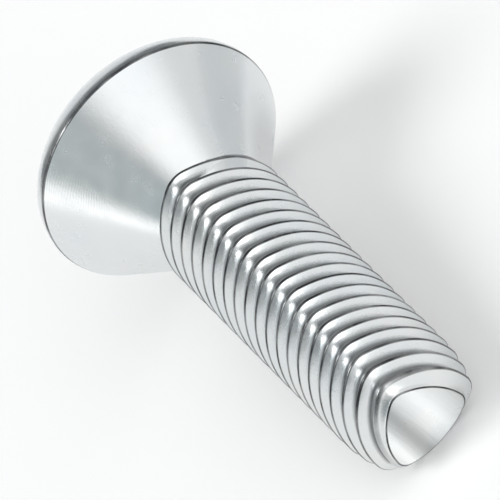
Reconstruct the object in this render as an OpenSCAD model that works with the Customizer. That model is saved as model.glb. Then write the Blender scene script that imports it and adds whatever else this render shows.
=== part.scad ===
// Oval head thread-forming screw, lying on its rim and on its last full thread.
// The threaded body has three rounded lobes, a blunt tapered point and a right-hand thread.
// Sizes are in millimetres. The tip points along +X and one lobe faces up.

/* [Head] */

// Diameter of the head at its rim
head_d = 12; // [10.5:0.1:14]
// Height of the straight land at the rim
land_h = 0.15; // [0.1:0.05:0.4]
// Rise of the oval crown above the land
crown_h = 2.6; // [1.8:0.1:3.4]
// Included angle of the countersunk seat, in degrees
seat_angle = 68; // [60:1:90]

/* [Drive recess] */

// Span of the cross recess over two opposite wings, at the top of the crown
recess_span = 7; // [5.6:0.1:7.6]
// Span over the same wings at the foot of the recess
recess_foot_span = 2.8; // [2:0.1:3.2]
// Width of each wing
recess_wing_w = 1.4; // [1:0.1:1.7]
// Diameter of the round core between the wings, at the top of the crown
recess_core_d = 4; // [2.4:0.1:4.4]
// Diameter of the round core at the foot of the recess
recess_core_foot_d = 1.8; // [1.2:0.1:2]
// Depth of the recess below the top of the crown, without its point
recess_depth = 3.3; // [2.4:0.1:3.8]
// Depth of the shallow point below the foot of the recess
recess_point_h = 0.35; // [0.2:0.05:0.6]

/* [Thread] */

// Length from the rim to the flat end of the point
screw_length = 22.4; // [16:0.1:32]
// Width across the threaded body, which is the same in every direction
across_d = 6.3; // [5.4:0.05:7]
// Circle around the three lobes, as a share of the width across
lobe_ratio = 1.1; // [1.03:0.01:1.13]
// Advance of the thread in one turn
thread_pitch = 0.907; // [0.8:0.001:1.3]
// Depth of the thread from crest to root
thread_depth = 0.5; // [0.35:0.01:0.55]

/* [Point] */

// Length of the tapered point
point_length = 3.5; // [2:0.1:5]
// Share of the radius that is lost over the tapered point
point_taper = 0.21; // [0.1:0.01:0.25]
// Length at the very end over which the crests sink to the root
point_fade = 0.55; // [0.3:0.05:1]

/* [Hidden] */

$fn = 96;
overlap = 0.4;
head_r = head_d / 2;
top_z = -land_h - crown_h;

// Lobed section of constant width: three corner arcs joined by three wide arcs
lobes = 3;
lobe_turn = 360 / lobes;
corner_half_turn = 30;
lobe_d = across_d * lobe_ratio;
corner_r = (across_d - lobe_d * sqrt(3) / 2) / (2 - sqrt(3));
corner_reach = lobe_d / 2 - corner_r;
side_r = corner_reach * sqrt(3) + corner_r;
flat_r = across_d - lobe_d / 2;

// Countersunk seat: it runs on as a cone until it is buried in the core of the thread
seat_slope = tan(seat_angle / 2);
neck_z = (head_r - flat_r) / seat_slope;
buried_r = flat_r - 2 * thread_depth;
buried_z = (head_r - buried_r) / seat_slope;

// Cross recess
recess_foot_z = top_z + recess_depth;
recess_mouth_z = top_z - overlap;
recess_point_z = recess_foot_z + recess_point_h;

// Thread form over one turn: place along the pitch and height from root (0) to crest (1)
flank_angle = 30;
crest_share = 1 / 8;
flank_share = thread_depth * tan(flank_angle) / thread_pitch;
thread_form = [
    [0, 0],
    [flank_share, 1],
    [flank_share + crest_share, 1],
    [2 * flank_share + crest_share, 0]
];
form_points = len(thread_form);

// Helix: it starts inside the head and runs past the end of the point
turn_steps = 36;
step_turn = 360 / turn_steps;
helix_z = neck_z - thread_pitch * (1 + flank_share);
helix_turns = ceil((screw_length - helix_z) / thread_pitch) + 1;
helix_steps = helix_turns * turn_steps;
helix_end_z = helix_z + thread_pitch * (helix_turns + 1);
run_in = thread_pitch / 4;
run_in_z = neck_z - 3 * run_in;
taper_z = screw_length - point_length;

// Rest: the rim and the crests at the start of the tapered point touch the surface below
point_curve = pow(point_length, 2) / (4 * flat_r * point_taper);
rest_slope = (sqrt(pow(taper_z, 2) + 4 * point_curve * (head_r - flat_r)) - taper_z) / (2 * point_curve);
rest_lean = atan(rest_slope);
rest_h = head_r * cos(rest_lean);
crown_reach = norm([crown_h * cos(rest_lean), head_r * sin(rest_lean)]) + land_h * cos(rest_lean);
tip_r = lobe_d / 2 * (1 - point_taper) - thread_depth;
tip_reach = screw_length * cos(rest_lean) + tip_r * sin(rest_lean);
rest_shift = (crown_reach - tip_reach) / 2;

// Point of the lobed outline that faces the direction a
function lobe_point(a) =
    let (
        lobe_a = round(a / lobe_turn) * lobe_turn,
        off = a - lobe_a,
        on_corner = abs(off) <= corner_half_turn,
        centre_a = on_corner ? lobe_a : lobe_a - sign(off) * lobe_turn,
        arc_r = on_corner ? corner_r : side_r
    )
    corner_reach * [cos(centre_a), sin(centre_a)] + arc_r * [cos(a), sin(a)];

// Angle about the axis, counted on from turn to turn, of an outline point that faces the direction a
function winding(p, a) = a + atan2(cos(a) * p.y - sin(a) * p.x, cos(a) * p.x + sin(a) * p.y);

// Share of the radius that is lost at the height z
function point_loss(z) = z < taper_z ? 0 : point_taper * pow((z - taper_z) / point_length, 2);

// Share of the crest at the height z: it grows below the seat and sinks at the very end
function crest_left(z) = max(0, min(1, (z - run_in_z) / run_in, (screw_length - z) / point_fade));

// Corner of the thread at one step of the helix
function thread_point(step, form) =
    let (
        a = step * step_turn,
        p = lobe_point(a),
        z = helix_z + thread_pitch * (winding(p, a) / 360 + form.x),
        r = norm(p) * (1 - point_loss(z)) - thread_depth * (1 - form.y * crest_left(z)),
        q = p * r / norm(p)
    )
    [q.x, q.y, z];

// Number of a corner in the list; the fifth corner of a step is the first one a turn later
function corner(step, j) =
    j < form_points ? step * form_points + j : corner(step + turn_steps, j - form_points);

// Threaded body as one closed helical skin with a fan at each end
module thread_skin() {
    corners = [for (s = [0 : helix_steps], f = thread_form) thread_point(s, f)];
    head_end = len(corners);
    tip_end = head_end + 1;
    wall = [
        for (s = [0 : helix_steps - 1], j = [0 : form_points - 1])
            if (j < form_points - 1 || s < helix_steps - turn_steps)
                each [
                    [corner(s, j), corner(s, j + 1), corner(s + 1, j + 1)],
                    [corner(s, j), corner(s + 1, j + 1), corner(s + 1, j)]
                ]
    ];
    last = form_points - 1;
    head_loop = concat(
        [for (s = [0 : turn_steps]) corner(s, 0)],
        [for (j = [last : -1 : 1]) corner(0, j)]
    );
    tip_loop = concat(
        [for (s = [helix_steps - turn_steps : helix_steps]) corner(s, last)],
        [for (j = [last - 1 : -1 : 0]) corner(helix_steps, j)]
    );
    head_fan = [for (k = [0 : len(head_loop) - 1])
        [head_end, head_loop[k], head_loop[(k + 1) % len(head_loop)]]];
    tip_fan = [for (k = [0 : len(tip_loop) - 1])
        [tip_end, tip_loop[(k + 1) % len(tip_loop)], tip_loop[k]]];
    polyhedron(
        points = concat(corners, [[0, 0, helix_z], [0, 0, helix_end_z]]),
        faces = concat(wall, head_fan, tip_fan)
    );
}

// Threaded body cut off square at the end of the point
module thread_body() {
    difference() {
        thread_skin();
        translate([0, 0, screw_length])
            cylinder(h = helix_end_z, r = across_d);
    }
}

// Half section of the head, turned about the axis: seat, land and oval crown
module head_section() {
    polygon([[0, -land_h], [head_r, -land_h], [head_r, 0], [buried_r, buried_z], [0, buried_z]]);
    translate([0, -land_h])
        intersection() {
            scale([1, crown_h / head_r])
                circle(r = head_r);
            translate([0, -head_r])
                square(head_r);
        }
}

// One pair of opposite wings of the cross recess
module recess_wings() {
    slope = (recess_span - recess_foot_span) / 2 / recess_depth;
    mouth_x = recess_span / 2 + slope * overlap;
    foot_x = recess_foot_span / 2;
    rotate([90, 0, 0])
        linear_extrude(height = recess_wing_w, center = true)
            polygon([
                [-mouth_x, recess_mouth_z],
                [mouth_x, recess_mouth_z],
                [foot_x, recess_foot_z],
                [0, recess_point_z],
                [-foot_x, recess_foot_z]
            ]);
}

// Cross recess with a round tapered core between its wings
module recess() {
    recess_wings();
    rotate([0, 0, 90])
        recess_wings();
    translate([0, 0, recess_mouth_z])
        cylinder(h = recess_foot_z - recess_mouth_z, d1 = recess_core_d, d2 = recess_core_foot_d);
}

// Head with its drive recess
module head() {
    difference() {
        rotate_extrude()
            head_section();
        recess();
    }
}

// Whole screw, laid down with a flat side below and a lobe on top
module screw() {
    color([0.78, 0.8, 0.81])
        translate([rest_shift, 0, rest_h])
            rotate([0, 90 + rest_lean, 0])
                rotate([0, 0, 180])
                    union() {
                        head();
                        thread_body();
                    }
}

screw();
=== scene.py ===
import math
import bpy
import bmesh
from mathutils import Matrix, Vector


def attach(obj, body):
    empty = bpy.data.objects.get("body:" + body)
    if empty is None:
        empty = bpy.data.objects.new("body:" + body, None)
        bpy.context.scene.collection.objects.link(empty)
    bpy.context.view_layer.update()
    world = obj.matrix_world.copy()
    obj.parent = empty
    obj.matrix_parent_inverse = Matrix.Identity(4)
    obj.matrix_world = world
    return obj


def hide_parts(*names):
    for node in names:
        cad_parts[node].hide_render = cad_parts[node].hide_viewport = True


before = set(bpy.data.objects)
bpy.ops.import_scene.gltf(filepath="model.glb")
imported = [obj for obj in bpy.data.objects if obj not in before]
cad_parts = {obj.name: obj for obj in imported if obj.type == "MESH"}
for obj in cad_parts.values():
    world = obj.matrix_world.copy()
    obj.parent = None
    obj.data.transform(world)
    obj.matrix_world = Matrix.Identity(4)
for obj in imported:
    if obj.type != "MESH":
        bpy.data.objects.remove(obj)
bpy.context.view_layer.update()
print("frame loaded")

mm = 0.001

# sizes in millimetres; z runs along the screw's axis from the rim to the point
screwSizes = {
    "headRadius": 6.0,
    "landHeight": 0.15,
    "crownHeight": 2.6,
    "seatHalfAngle": 34.0,
    "acrossBody": 6.3,
    "lobeRatio": 1.1,
    "pitch": 0.907,
    "threadDepth": 0.5,
    "flankAngle": 30.0,
    "length": 22.4,
    "pointLength": 3.5,
    "pointTaper": 0.21,
    "pointFade": 0.55,
    "runInShare": 0.25,     # of the pitch, over which the first crest grows
    "runInLead": 2.2,       # where it starts, in run-ins ahead of the neck
    "neckBlend": 0.07,
    "rimRound": 0.07,
    "endRound": 0.07,
    "shadeLineFrom": 0.9,        # share of the thread's depth where the crest's painted shade line starts
    "shadeLineBlend": 0.07,
    "markBlend": 0.1,       # rise above the cone over which the painted groove shade and the painted shade lines come in
    "markLead": 1.5,        # how far the first crest's painted shade line shows below the cone, in blends
    "turnSteps": 144,
    "crownSteps": 36,
    "rimSteps": 6,
    "sharpAngle": 38.0,
}

seatSlope = math.tan(math.radians(screwSizes["seatHalfAngle"]))
lobeRadius = screwSizes["acrossBody"] * screwSizes["lobeRatio"] / 2
cornerRadius = (screwSizes["acrossBody"] - lobeRadius * math.sqrt(3)) / (2 - math.sqrt(3))
cornerReach = lobeRadius - cornerRadius
sideRadius = cornerReach * math.sqrt(3) + cornerRadius
flatRadius = screwSizes["acrossBody"] - lobeRadius
neckHeight = (screwSizes["headRadius"] - flatRadius) / seatSlope
taperStart = screwSizes["length"] - screwSizes["pointLength"]
crownTop = -screwSizes["landHeight"] - screwSizes["crownHeight"]
flankRun = screwSizes["threadDepth"] * math.tan(math.radians(screwSizes["flankAngle"]))

# how the screw lies: on its rim and on the crests where the point starts to taper
pointCurve = screwSizes["pointLength"] ** 2 / (4 * flatRadius * screwSizes["pointTaper"])
restGap = screwSizes["headRadius"] - flatRadius
restLean = math.atan((math.sqrt(taperStart ** 2 + 4 * pointCurve * restGap) - taperStart) / (2 * pointCurve))
crownReach = math.hypot(screwSizes["crownHeight"] * math.cos(restLean), screwSizes["headRadius"] * math.sin(restLean))
crownReach += screwSizes["landHeight"] * math.cos(restLean)
tipRadius = lobeRadius * (1 - screwSizes["pointTaper"]) - screwSizes["threadDepth"]
tipReach = screwSizes["length"] * math.cos(restLean) + tipRadius * math.sin(restLean)
rimCentre = Vector(((crownReach - tipReach) / 2, 0, screwSizes["headRadius"] * math.cos(restLean)))
ontoSide = Matrix.Rotation(math.pi / 2 + restLean, 4, "Y") @ Matrix.Rotation(math.pi, 4, "Z")
layDown = Matrix.Translation(rimCentre) @ ontoSide


def share(value):
    return max(0.0, min(1.0, value))


def lobeReach(angle):
    # radius of the three-lobed outline, with a lobe at angle 0
    fromLobe = math.radians(abs((math.degrees(angle) + 60) % 120 - 60))
    corner = math.radians(30)
    meet = math.atan2(cornerRadius * math.sin(corner), cornerReach + cornerRadius * math.cos(corner))
    if fromLobe <= meet:
        rise = math.sqrt(cornerRadius ** 2 - (cornerReach * math.sin(fromLobe)) ** 2)
        return cornerReach * math.cos(fromLobe) + rise
    fromFlat = math.radians(60) - fromLobe
    return math.sqrt(sideRadius ** 2 - (cornerReach * math.sin(fromFlat)) ** 2) - cornerReach * math.cos(fromFlat)


def crestLeft(z):
    # share of the crest that stands: it grows at the neck and sinks at the very end
    runIn = screwSizes["pitch"] * screwSizes["runInShare"]
    grown = (z - neckHeight + screwSizes["runInLead"] * runIn) / runIn
    return share(min(grown, (screwSizes["length"] - z) / screwSizes["pointFade"]))


def pointLoss(z):
    if z < taperStart:
        return 0.0
    return screwSizes["pointTaper"] * ((z - taperStart) / screwSizes["pointLength"]) ** 2


def softMax(a, b, blend):
    near = max(blend - abs(a - b), 0.0) / blend
    return max(a, b) + near * near * blend / 4


def threadProfile():
    # one pitch of the thread, from root to root: place along the axis and height above the root,
    # with a rounded root and softened corners on the crest
    depth, crest = screwSizes["threadDepth"], screwSizes["pitch"] / 8
    rising = [(0.0, 0.0), (flankRun * 0.1, depth * 0.05), (flankRun * 0.22, depth * 0.2),
              (flankRun * 0.5, depth * 0.5), (flankRun * 0.9, depth * 0.9),
              (flankRun * 0.985, depth * 0.97), (flankRun + crest * 0.16, depth)]
    middle = flankRun + crest / 2
    falling = [(2 * middle - z, h) for z, h in reversed(rising)]
    rootMiddle = (2 * middle + screwSizes["pitch"]) / 2
    return rising + [(middle, depth)] + falling + [(rootMiddle, -depth * 0.02), (screwSizes["pitch"], 0.0)]


def onlyVerts(geom):
    return [g for g in geom if isinstance(g, bmesh.types.BMVert)]


def edgeVerts(bm, edges):
    # in the mesh's own order, so that every run merges them alike
    wanted = {v for e in edges for v in e.verts}
    return [v for v in bm.verts if v in wanted]


def settle(bm):
    # one fixed order of points, edges and faces, so that every run gives the same mesh
    order = {v: k for k, v in enumerate(sorted(bm.verts, key=lambda v: v.co[:]))}
    bm.verts.sort(key=lambda v: order[v])
    bm.verts.index_update()
    for parts in (bm.edges, bm.faces):
        byVerts = sorted(parts, key=lambda p: sorted(v.index for v in p.verts))
        order = {p: k for k, p in enumerate(byVerts)}
        parts.sort(key=lambda p: order[p])
        parts.index_update()


def roundAngle(v):
    return math.atan2(v.co.y, v.co.x)


def sweepThread(bm, hollowShade, wornShadeLine):
    # a strip of one pitch is spun through one turn and copied along the axis,
    # then every point is set to the lobed and tapered radius
    pitch, steps, depth = screwSizes["pitch"], screwSizes["turnSteps"], screwSizes["threadDepth"]
    blend = screwSizes["markBlend"]
    blankRadius = 10
    start = neckHeight - pitch * 3 - flankRun
    turns = math.ceil((screwSizes["length"] - start) / pitch) + 1
    row = [bm.verts.new((blankRadius + h, 0, start + z)) for z, h in threadProfile()]
    wires = [bm.edges.new(pair) for pair in zip(row, row[1:])]
    bmesh.ops.spin(bm, geom=row + wires, cent=(0, 0, 0), axis=(0, 0, 1), dvec=(0, 0, pitch / steps),
                   angle=2 * math.pi, steps=steps, use_merge=False)
    settle(bm)
    turn = bm.verts[:] + bm.edges[:] + bm.faces[:]
    for k in range(1, turns):
        copied = bmesh.ops.duplicate(bm, geom=turn)["geom"]
        bmesh.ops.translate(bm, verts=onlyVerts(copied), vec=(0, 0, pitch * k))
    bmesh.ops.remove_doubles(bm, verts=bm.verts[:], dist=0.002)
    # finer rows where the thread runs out of the cone
    neckEdges = [e for e in bm.edges if abs(roundAngle(e.verts[0]) - roundAngle(e.verts[1])) < 0.001
                 and all(-1.1 * pitch < v.co.z - neckHeight < 0.5 * pitch for v in e.verts)]
    bmesh.ops.subdivide_edges(bm, edges=neckEdges, cuts=2, use_grid_fill=True)
    for v in bm.verts:
        angle, height, z = roundAngle(v), math.hypot(v.co.x, v.co.y) - blankRadius, v.co.z
        crest = crestLeft(z)
        radius = lobeReach(angle) * (1 - pointLoss(z)) - depth + height * crest
        seat = screwSizes["headRadius"] - z * seatSlope
        aboveCone = (radius - seat) / blend
        # painted shade: darker towards the root of the groove
        v[hollowShade] = (1 - height / depth) * crest * share(aboveCone)
        # painted shade: a dark line along the crests, and the first crest's line shows a little way into the cone, as
        # the shade where thread and cone meet
        crestShadeLine = share((height / depth - screwSizes["shadeLineFrom"]) / screwSizes["shadeLineBlend"])
        v[wornShadeLine] = crestShadeLine * crest * share(aboveCone + screwSizes["markLead"])
        radius = softMax(radius, seat, screwSizes["neckBlend"])
        v.co.x, v.co.y = radius * math.cos(angle), radius * math.sin(angle)


def cutAt(bm, z, side):
    # cuts the swept thread off square and gives the open loop
    everything = bm.verts[:] + bm.edges[:] + bm.faces[:]
    bmesh.ops.bisect_plane(bm, geom=everything, dist=0.0005, plane_co=(0, 0, z), plane_no=(0, 0, side),
                           clear_outer=True)
    return [e for e in bm.edges if e.is_boundary and all(abs(v.co.z - z) < 0.003 for v in e.verts)]


def growLoop(bm, loop, marks, z, radius=None, part=None, wornShadeLine=0):
    # extrudes an open loop to a new height, at one radius or at a part of its own
    grown = bmesh.ops.extrude_edge_only(bm, edges=loop)["geom"]
    ring = set(onlyVerts(grown))
    for v in ring:
        scale = part or radius / math.hypot(v.co.x, v.co.y)
        v.co = (v.co.x * scale, v.co.y * scale, z)
        v[marks["hollowShade"]], v[marks["turned"]] = 0, 1
        v[marks["sheared"]], v[marks["wornShadeLine"]] = z > taperStart, wornShadeLine
    return [g for g in grown if isinstance(g, bmesh.types.BMEdge) and ring.issuperset(g.verts)]


def closeLoop(bm, loop, z):
    bmesh.ops.pointmerge(bm, verts=edgeVerts(bm, loop), merge_co=(0, 0, z))


def headRows(seatStart):
    # radius, height and painted shade line from the seat over the rounded rim to the oval crown
    rim, land, crown, rounded = (screwSizes[k] for k in ("headRadius", "landHeight", "crownHeight", "rimRound"))
    rows = [(rim - z * seatSlope, z, 0) for z in (seatStart * 0.66, seatStart * 0.33, rounded * 1.6, rounded)]
    for k in range(1, screwSizes["rimSteps"]):
        t = k / screwSizes["rimSteps"]
        rows.append((rim - rounded * seatSlope * (1 - t) ** 2, rounded * (1 - t) ** 2 - rounded * 0.7 * t * t, 1))
    for k in range(screwSizes["crownSteps"]):
        a = math.pi / 2 * k / screwSizes["crownSteps"]
        rows.append((rim * math.cos(a), -land - crown * math.sin(a), 0))
    return rows


def screwBody():
    bm = bmesh.new()
    names = ("hollowShade", "turned", "sheared", "wornShadeLine")
    for name in names:
        bm.verts.layers.float.new(name)
    marks = {name: bm.verts.layers.float[name] for name in names}
    sweepThread(bm, marks["hollowShade"], marks["wornShadeLine"])
    seatStart = neckHeight - screwSizes["pitch"] * 1.6
    endStart = screwSizes["length"] - screwSizes["endRound"]
    loop = cutAt(bm, seatStart, -1)
    for radius, z, wornShadeLine in headRows(seatStart):
        loop = growLoop(bm, loop, marks, z, radius=radius, wornShadeLine=wornShadeLine)
    closeLoop(bm, loop, crownTop)
    # rows of the rounded end: size against the cut, and rise as a share of the rounding
    endRows = ((0.995, 0.35), (0.985, 0.62), (0.97, 0.8), (0.95, 0.88), (0.88, 0.92), (0.7, 0.95), (0.4, 0.98))
    loop = cutAt(bm, endStart, 1)
    last = 1.0
    for size, rise in endRows:
        z = endStart + screwSizes["endRound"] * rise
        # the outer rows of the rounded end carry the painted shade line
        loop = growLoop(bm, loop, marks, z, part=size / last, wornShadeLine=size > 0.96)
        last = size
    closeLoop(bm, loop, screwSizes["length"])
    bmesh.ops.recalc_face_normals(bm, faces=bm.faces[:])
    return bm


# cross recess in the crown, in millimetres; depths count from the top of the crown
recessSizes = {
    "span": 7.0,
    "footSpan": 2.8,
    "wingWidth": 1.4,
    "coreRadius": 2.0,
    "coreFootRadius": 0.9,
    "coreSteps": 64,
    "depth": 3.3,
    "pointHeight": 0.35,
    "pairStep": 0.01,       # how much higher the second pair of wings ends
    "above": 0.4,
    "wingRound": 0.22,
    "mouthRound": 0.05,
    "mouthReach": 0.6,      # share of the span that holds the whole mouth
    "shadeDepth": 2.4,
    "shadeMost": 0.8,
}


def recessWings(turn, pointHeight):
    # one pair of wings as a flat outline, given its width by extrusion
    foot, width = crownTop + recessSizes["depth"], recessSizes["wingWidth"]
    slope = (recessSizes["span"] - recessSizes["footSpan"]) / 2 / recessSizes["depth"]
    mouth = recessSizes["span"] / 2 + slope * recessSizes["above"]
    half = recessSizes["footSpan"] / 2
    outline = ((-mouth, crownTop - recessSizes["above"]), (mouth, crownTop - recessSizes["above"]),
               (half, foot), (0, foot + pointHeight), (-half, foot))
    bm = bmesh.new()
    face = bm.faces.new([bm.verts.new((x, -width / 2, z)) for x, z in outline])
    grown = bmesh.ops.extrude_face_region(bm, geom=[face])["geom"]
    bmesh.ops.translate(bm, verts=onlyVerts(grown), vec=(0, width, 0))
    ends = []
    for e in bm.edges:
        a, b = (v.co for v in e.verts)
        if abs(a.y - b.y) < 0.01 and min(abs(a.x), abs(b.x)) > 0.5 and a.x * b.x > 0:
            ends.append(e)
    bmesh.ops.bevel(bm, geom=ends, offset=recessSizes["wingRound"], affect="EDGES", segments=3, profile=0.5,
                    material=-1)
    bmesh.ops.rotate(bm, verts=bm.verts[:], cent=(0, 0, 0), matrix=Matrix.Rotation(turn, 3, "Z"))
    bmesh.ops.recalc_face_normals(bm, faces=bm.faces[:])
    return bm


def recessCore():
    height = recessSizes["depth"] + recessSizes["above"]
    bm = bmesh.new()
    bmesh.ops.create_cone(bm, cap_ends=True, segments=recessSizes["coreSteps"], radius1=recessSizes["coreRadius"],
                          radius2=recessSizes["coreFootRadius"], depth=height,
                          matrix=Matrix.Translation((0, 0, crownTop - recessSizes["above"] + height / 2)))
    bmesh.ops.recalc_face_normals(bm, faces=bm.faces[:])
    return bm


def asObject(name, bm):
    settle(bm)
    mesh = bpy.data.meshes.new(name)
    bm.to_mesh(mesh)
    bm.free()
    obj = bpy.data.objects.new(name, mesh)
    bpy.context.scene.collection.objects.link(obj)
    return obj


def crownAt(reach):
    rise = math.sqrt(1 - (reach / screwSizes["headRadius"]) ** 2)
    return -screwSizes["landHeight"] - screwSizes["crownHeight"] * rise


def onCrown(v):
    reach = math.hypot(v.co.x, v.co.y)
    return reach < recessSizes["span"] * recessSizes["mouthReach"] and abs(v.co.z - crownAt(reach)) < 0.006


def mouthEdges(bm):
    sharp = math.radians(30)
    return [e for e in bm.edges if e.is_manifold and e.calc_face_angle() > sharp and all(onCrown(v) for v in e.verts)]


def roundMouth(bm):
    # slivers along the mouth are merged away, then its edge is rounded
    rounded = recessSizes["mouthRound"]
    bmesh.ops.remove_doubles(bm, verts=edgeVerts(bm, mouthEdges(bm)), dist=rounded * 0.7)
    rim = edgeVerts(bm, mouthEdges(bm))
    near = [v for v in bm.verts if onCrown(v)]
    doubles = bmesh.ops.find_doubles(bm, verts=near, keep_verts=rim, dist=rounded * 1.5)["targetmap"]
    ontoRim = {v: kept for v, kept in doubles.items() if v not in rim and kept in rim}
    bmesh.ops.weld_verts(bm, targetmap=ontoRim)
    bmesh.ops.bevel(bm, geom=mouthEdges(bm), offset=rounded, affect="EDGES", segments=3, profile=0.5,
                    material=-1, clamp_overlap=False)


def makeScrew():
    body = asObject("bodyBlank", screwBody())
    # the second pair ends a hair higher, so that no two planes of the cutters meet in one line
    pointHeight = recessSizes["pointHeight"]
    cutters = [asObject("wingsAlong", recessWings(0, pointHeight)),
               asObject("wingsAcross", recessWings(math.pi / 2, pointHeight - recessSizes["pairStep"])),
               asObject("core", recessCore())]
    for cutter in cutters:
        cut = body.modifiers.new(cutter.name, "BOOLEAN")
        cut.operation, cut.solver, cut.object = "DIFFERENCE", "EXACT", cutter
    ready = body.evaluated_get(bpy.context.evaluated_depsgraph_get())
    bm = bmesh.new()
    bm.from_mesh(ready.to_mesh())
    settle(bm)
    for used in [body] + cutters:
        data = used.data
        bpy.data.objects.remove(used)
        bpy.data.meshes.remove(data)
    bmesh.ops.remove_doubles(bm, verts=bm.verts[:], dist=0.0004)
    roundMouth(bm)
    # painted shade: the recess darkens with its depth
    hollowShade = bm.verts.layers.float["hollowShade"]
    for v in bm.verts:
        reach = math.hypot(v.co.x, v.co.y)
        if reach < recessSizes["span"] * recessSizes["mouthReach"] and v.co.z < 1.5:
            below = (v.co.z - crownAt(reach) - 0.01) / recessSizes["shadeDepth"]
            v[hollowShade] = max(0.0, min(recessSizes["shadeMost"], below))
    bmesh.ops.transform(bm, matrix=Matrix.Scale(mm, 4) @ layDown, verts=bm.verts[:])
    screw = asObject("zincScrew", bm)
    for face in screw.data.polygons:
        face.use_smooth = True
    screw.data.set_sharp_from_angle(angle=math.radians(screwSizes["sharpAngle"]))
    return screw


screw = makeScrew()
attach(screw, "root")
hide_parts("screw")
print("screw made")

# bright zinc plating; scales of the patterns are in turns per metre, depths in metres
zincLook = {
    "cool": (0.735, 0.765, 0.78, 1),
    "warm": (0.79, 0.8, 0.795, 1),
    "tintScale": 260.0,
    "smooth": 0.21,
    "dull": 0.29,
    "dullScale": 1500.0,
    "shadeLineColour": (0.045, 0.046, 0.048, 1),     # painted shade lines along the crests, the rim, the end's edge and where thread meets cone, broken into patches like worn plating
    "shadeLinePatchScale": 700.0,
    "shadeLinePatchLeast": 0.7,
    # painted shade in the groove roots and the recess
    "hollowShadeColour": (0.2, 0.208, 0.213, 1),
    "hollowShadeFrom": 0.58,
    "hollowShadeTo": 1.0,
    "grooveDull": 0.4,
    "grainScale": 7000.0,
    "grainDepth": 3e-6,
    "turnedScale": 4300.0,
    "turnedDepth": 1.0e-6,
    "turnedWander": 7.0,
    # painted reflection: the sheared end has soft lighter and darker strips, laid out like rubbed and torn shear
    # zones: centre across it, half width in millimetres, change of brightness
    "endReflectionStrips": {
        "paleReflectionRubbedEdge": (1.75, 0.5, 0.22),
        "darkReflectionTorn": (0.85, 0.8, -0.45),
        "paleReflectionRubbed": (-0.5, 0.75, 0.22),
        "darkReflectionDullSide": (-2.1, 1.0, -0.28),
    },
    "stripWander": 0.25,
    "streakScale": 9000.0,
    "streakStretch": 0.06,
}


def setOrLink(links, socket, value):
    if isinstance(value, bpy.types.NodeSocket):
        links.new(value, socket)
    else:
        socket.default_value = value


def addNoise(nodes, links, coords, scale, detail):
    noise = nodes.new("ShaderNodeTexNoise")
    noise.inputs["Scale"].default_value = scale
    noise.inputs["Detail"].default_value = detail
    links.new(coords, noise.inputs["Vector"])
    return noise.outputs["Fac"]


def addRange(nodes, links, value, low, high, toLow, toHigh, kind="LINEAR"):
    span = nodes.new("ShaderNodeMapRange")
    span.interpolation_type = kind
    for name, number in (("From Min", low), ("From Max", high), ("To Min", toLow), ("To Max", toHigh)):
        span.inputs[name].default_value = number
    links.new(value, span.inputs["Value"])
    return span.outputs["Result"]


def addMix(nodes, links, kind, factor, a, b):
    mix = nodes.new("ShaderNodeMix")
    mix.data_type = kind
    links.new(factor, mix.inputs[0])
    first, second, out = {"FLOAT": (2, 3, 0), "RGBA": (6, 7, 2)}[kind]
    setOrLink(links, mix.inputs[first], a)
    setOrLink(links, mix.inputs[second], b)
    return mix.outputs[out]


def addMath(nodes, links, operation, *values):
    step = nodes.new("ShaderNodeMath")
    step.operation = operation
    for socket, value in zip(step.inputs, values):
        setOrLink(links, socket, value)
    return step.outputs["Value"]


def addMark(nodes, name):
    # a mark that was set on the mesh while it was made
    mark = nodes.new("ShaderNodeAttribute")
    mark.attribute_name = name
    return mark.outputs["Fac"]


def addBump(nodes, links, height, distance):
    bump = nodes.new("ShaderNodeBump")
    bump.inputs["Distance"].default_value = distance
    links.new(height, bump.inputs["Height"])
    return bump


def paintedEndReflection(nodes, links, onAxis):
    # painted reflection: strips and fine streaks of the sheared end, all in one direction
    streaks = nodes.new("ShaderNodeMapping")
    stretch = zincLook["streakStretch"]
    streaks.inputs["Scale"].default_value = (stretch, 1, stretch)
    links.new(onAxis, streaks.inputs["Vector"])
    streak = addNoise(nodes, links, streaks.outputs["Vector"], zincLook["streakScale"], 3)
    across = nodes.new("ShaderNodeSeparateXYZ")
    links.new(onAxis, across.inputs["Vector"])
    place = addMath(nodes, links, "MULTIPLY_ADD", streak, zincLook["stripWander"] * mm, across.outputs["Y"])
    brightness = 1.0
    for centre, halfWidth, change in zincLook["endReflectionStrips"].values():
        away = addMath(nodes, links, "ABSOLUTE", addMath(nodes, links, "SUBTRACT", place, centre * mm))
        strip = addRange(nodes, links, away, 0, halfWidth * mm, change, 0, "SMOOTHSTEP")
        brightness = addMath(nodes, links, "ADD", strip, brightness)
    return brightness


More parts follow.
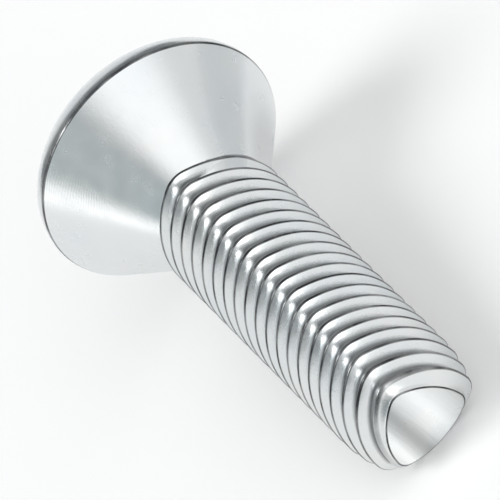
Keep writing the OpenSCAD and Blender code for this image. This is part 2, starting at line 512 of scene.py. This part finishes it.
def makeZinc():
    mat = bpy.data.materials.new("brightZinc")
    mat.use_nodes = True
    nodes, links = mat.node_tree.nodes, mat.node_tree.links
    shader = nodes["Principled BSDF"]
    shader.inputs["Metallic"].default_value = 1.0
    coords = nodes.new("ShaderNodeTexCoord").outputs["Object"]
    mapping = nodes.new("ShaderNodeMapping")    # z along the screw's axis, from its rim
    mapping.vector_type = "TEXTURE"
    mapping.inputs["Location"].default_value = rimCentre * mm
    mapping.inputs["Rotation"].default_value = layDown.to_euler()
    links.new(coords, mapping.inputs["Vector"])
    onAxis = mapping.outputs["Vector"]

    tintNoise = addNoise(nodes, links, coords, zincLook["tintScale"], 3)
    tint = addRange(nodes, links, tintNoise, 0.3, 0.7, 0, 1)
    colour = addMix(nodes, links, "RGBA", tint, zincLook["cool"], zincLook["warm"])
    endColour = nodes.new("ShaderNodeVectorMath")
    endColour.operation = "SCALE"
    links.new(colour, endColour.inputs["Vector"])
    links.new(paintedEndReflection(nodes, links, onAxis), endColour.inputs["Scale"])
    # the sheared end takes the painted reflection strips
    colour = addMix(nodes, links, "RGBA", addMark(nodes, "sheared"), colour, endColour.outputs["Vector"])
    # painted shade lines, near black, broken into patches like worn plating
    shadeLinePatchNoise = addNoise(nodes, links, coords, zincLook["shadeLinePatchScale"], 4)
    patchy = addRange(nodes, links, shadeLinePatchNoise, 0.35, 0.6, zincLook["shadeLinePatchLeast"], 1)
    wornShadeLine = addMath(nodes, links, "MULTIPLY", addMark(nodes, "wornShadeLine"), patchy)
    colour = addMix(nodes, links, "RGBA", wornShadeLine, colour, zincLook["shadeLineColour"])
    # painted shade: darker towards the groove roots and deeper in the recess
    hollowShade = addRange(nodes, links, addMark(nodes, "hollowShade"), zincLook["hollowShadeFrom"], zincLook["hollowShadeTo"], 0, 1,
                      "SMOOTHSTEP")
    colour = addMix(nodes, links, "RGBA", hollowShade, colour, zincLook["hollowShadeColour"])
    links.new(colour, shader.inputs["Base Color"])

    dullNoise = addNoise(nodes, links, coords, zincLook["dullScale"], 4)
    dull = addRange(nodes, links, dullNoise, 0.25, 0.75, zincLook["smooth"], zincLook["dull"])
    links.new(addMix(nodes, links, "FLOAT", hollowShade, dull, zincLook["grooveDull"]), shader.inputs["Roughness"])

    grain = addBump(nodes, links, addNoise(nodes, links, coords, zincLook["grainScale"], 3), zincLook["grainDepth"])
    rings = nodes.new("ShaderNodeTexWave")
    rings.wave_type, rings.rings_direction = "RINGS", "Z"
    rings.inputs["Scale"].default_value = zincLook["turnedScale"]
    rings.inputs["Distortion"].default_value = zincLook["turnedWander"]
    rings.inputs["Detail"].default_value = 2.0
    rings.inputs["Detail Scale"].default_value = 0.3
    links.new(onAxis, rings.inputs["Vector"])
    turned = addBump(nodes, links, rings.outputs["Fac"], zincLook["turnedDepth"])
    links.new(addMark(nodes, "turned"), turned.inputs["Strength"])
    links.new(grain.outputs["Normal"], turned.inputs["Normal"])
    links.new(turned.outputs["Normal"], shader.inputs["Normal"])
    return mat


screw.data.materials.append(makeZinc())
print("zinc material made")

# pixels are those of the square frame
cameraSet = {
    "frameSize": 500,
    "axisAngle": 46.4,      # between the screw's axis and the way to the camera
    "roundAxis": 3.6,       # the camera's turn about the axis, from the top lobe
    "rimAlong": 224.5,      # place of the rim's centre along the diagonal
    "rimAcross": 0.3,
    "pixelsPerMm": 22.78,
    "distance": 940.0,
    "sensor": 36.0,
}


def makeCamera():
    axis = Vector((math.cos(restLean), 0, -math.sin(restLean)))
    top = Vector((math.sin(restLean), 0, math.cos(restLean)))
    angle, turn = math.radians(cameraSet["axisAngle"]), math.radians(cameraSet["roundAxis"])
    above = top * math.cos(turn) + Vector((0, 1, 0)) * math.sin(turn)
    back = axis * math.cos(angle) + above * math.sin(angle)
    along = (axis - back * axis.dot(back)).normalized()
    across = back.cross(along)
    right, up = (along + across) / math.sqrt(2), (across - along) / math.sqrt(2)
    scale, frameSize = cameraSet["pixelsPerMm"], cameraSet["frameSize"]
    toMiddle = along * (frameSize / 2 * math.sqrt(2) - cameraSet["rimAlong"]) - across * cameraSet["rimAcross"]
    target = rimCentre + toMiddle / scale
    middle = screwSizes["length"] / 2 * math.cos(angle)     # the scale holds halfway along the screw
    place = (target + back * (cameraSet["distance"] + middle)) * mm
    data = bpy.data.cameras.new("camera")
    data.sensor_width = cameraSet["sensor"]
    data.lens = cameraSet["sensor"] * cameraSet["distance"] / (frameSize / scale)
    data.clip_start, data.clip_end = 0.01, 100
    camera = bpy.data.objects.new("camera", data)
    camera.matrix_world = Matrix.Translation(place) @ Matrix((right, up, back)).transposed().to_4x4()
    bpy.context.scene.collection.objects.link(camera)
    bpy.context.scene.camera = camera


makeCamera()
print("camera placed")

stageSet = {
    "floorSize": 6.0,
    "floorColour": (0.8, 0.8, 0.8, 1),
    "floorLift": 0.2,      # makes the floor white where no shadow lies
    "worldColour": (0.55, 0.55, 0.55, 1),
    "cardDull": 0.9,
    # cards that stand on the floor out of sight: place, width and height in millimetres, turn in degrees, colour
    "cards": {
        "greyCard": ((42.5, -26.3), 19.0, 22.0, 58.0, (0.35, 0.38, 0.385, 1)),
        "paleCard": ((-9.0, 13.8), 22.0, 9.0, 0.0, (0.88, 0.885, 0.89, 1)),
    },
    # direction, full within this angle, gone at this angle, colour; a later patch covers an earlier one
    "softPatches": (
        ((-0.987, 0.0, 0.158), 45, 75, (0.14, 0.15, 0.155, 1)),
        ((-0.987, 0.0, 0.158), 20, 38, (0.85, 0.86, 0.87, 1)),
        ((0.2, 0.98, 0.1), 15, 60, (0.84, 0.845, 0.845, 1)),
        ((0.42, -0.73, 0.54), 2, 50, (0.42, 0.47, 0.48, 1)),
        ((0.5, 0.42, 0.76), 8, 40, (1.28, 1.28, 1.28, 1)),
        ((0.94, 0.3, 0.08), 8, 26, (2.6, 2.6, 2.6, 1)),
        ((-0.05, -1.0, 0.0), 10, 30, (1.55, 1.55, 1.55, 1)),
        ((-0.1, -0.63, 0.77), 6, 18, (8.6, 8.6, 8.6, 1)),
    ),
}


def makeFloor():
    bm = bmesh.new()
    bmesh.ops.create_grid(bm, x_segments=1, y_segments=1, size=stageSet["floorSize"])
    floor = asObject("floor", bm)
    mat = bpy.data.materials.new("paleFloor")
    mat.use_nodes = True
    nodes, links = mat.node_tree.nodes, mat.node_tree.links
    shader = nodes["Principled BSDF"]
    shader.inputs["Base Color"].default_value = stageSet["floorColour"]
    shader.inputs["Roughness"].default_value = 1.0
    shader.inputs["Specular IOR Level"].default_value = 0.0
    shader.inputs["Emission Color"].default_value = (1, 1, 1, 1)
    path = nodes.new("ShaderNodeLightPath")
    seen = path.outputs["Is Camera Ray"]
    for ray in ("Is Glossy Ray", "Is Transmission Ray"):
        seen = addMath(nodes, links, "MAXIMUM", seen, path.outputs[ray])
    lift = addRange(nodes, links, seen, 0, 1, 0, stageSet["floorLift"])
    links.new(lift, shader.inputs["Emission Strength"])
    floor.data.materials.append(mat)


def makeCard(name, place, wide, high, turn, colour):
    # the zinc mirrors the cards as its grey streaks
    bm = bmesh.new()
    bmesh.ops.create_grid(bm, x_segments=1, y_segments=1, size=0.5)
    bmesh.ops.scale(bm, vec=(wide * mm, high * mm, 1), verts=bm.verts[:])
    standing = Matrix.Rotation(math.radians(turn), 3, "Z") @ Matrix.Rotation(math.pi / 2, 3, "X")
    bmesh.ops.rotate(bm, cent=(0, 0, 0), matrix=standing, verts=bm.verts[:])
    bmesh.ops.translate(bm, vec=Vector((*place, high / 2)) * mm, verts=bm.verts[:])
    card = asObject(name, bm)
    card.visible_camera = card.visible_diffuse = card.visible_shadow = False
    mat = bpy.data.materials.new(name)
    mat.use_nodes = True
    shader = mat.node_tree.nodes["Principled BSDF"]
    shader.inputs["Base Color"].default_value = colour
    shader.inputs["Roughness"].default_value = stageSet["cardDull"]
    card.data.materials.append(mat)


def makeWorld():
    world = bpy.data.worlds.new("studio")
    world.use_nodes = True
    bpy.context.scene.world = world
    nodes, links = world.node_tree.nodes, world.node_tree.links
    way = nodes.new("ShaderNodeTexCoord").outputs["Generated"]
    light = stageSet["worldColour"]
    for direction, inner, outer, colour in stageSet["softPatches"]:
        dot = nodes.new("ShaderNodeVectorMath")
        dot.operation = "DOT_PRODUCT"
        dot.inputs[1].default_value = Vector(direction).normalized()
        links.new(way, dot.inputs[0])
        gone, full = math.cos(math.radians(outer)), math.cos(math.radians(inner))
        edge = addRange(nodes, links, dot.outputs["Value"], gone, full, 0, 1, "SMOOTHSTEP")
        light = addMix(nodes, links, "RGBA", edge, light, colour)
    links.new(light, nodes["Background"].inputs["Color"])


makeFloor()
for name, settings in stageSet["cards"].items():
    makeCard(name, *settings)
makeWorld()
bpy.context.scene.view_settings.view_transform = "Standard"
print("stage set")
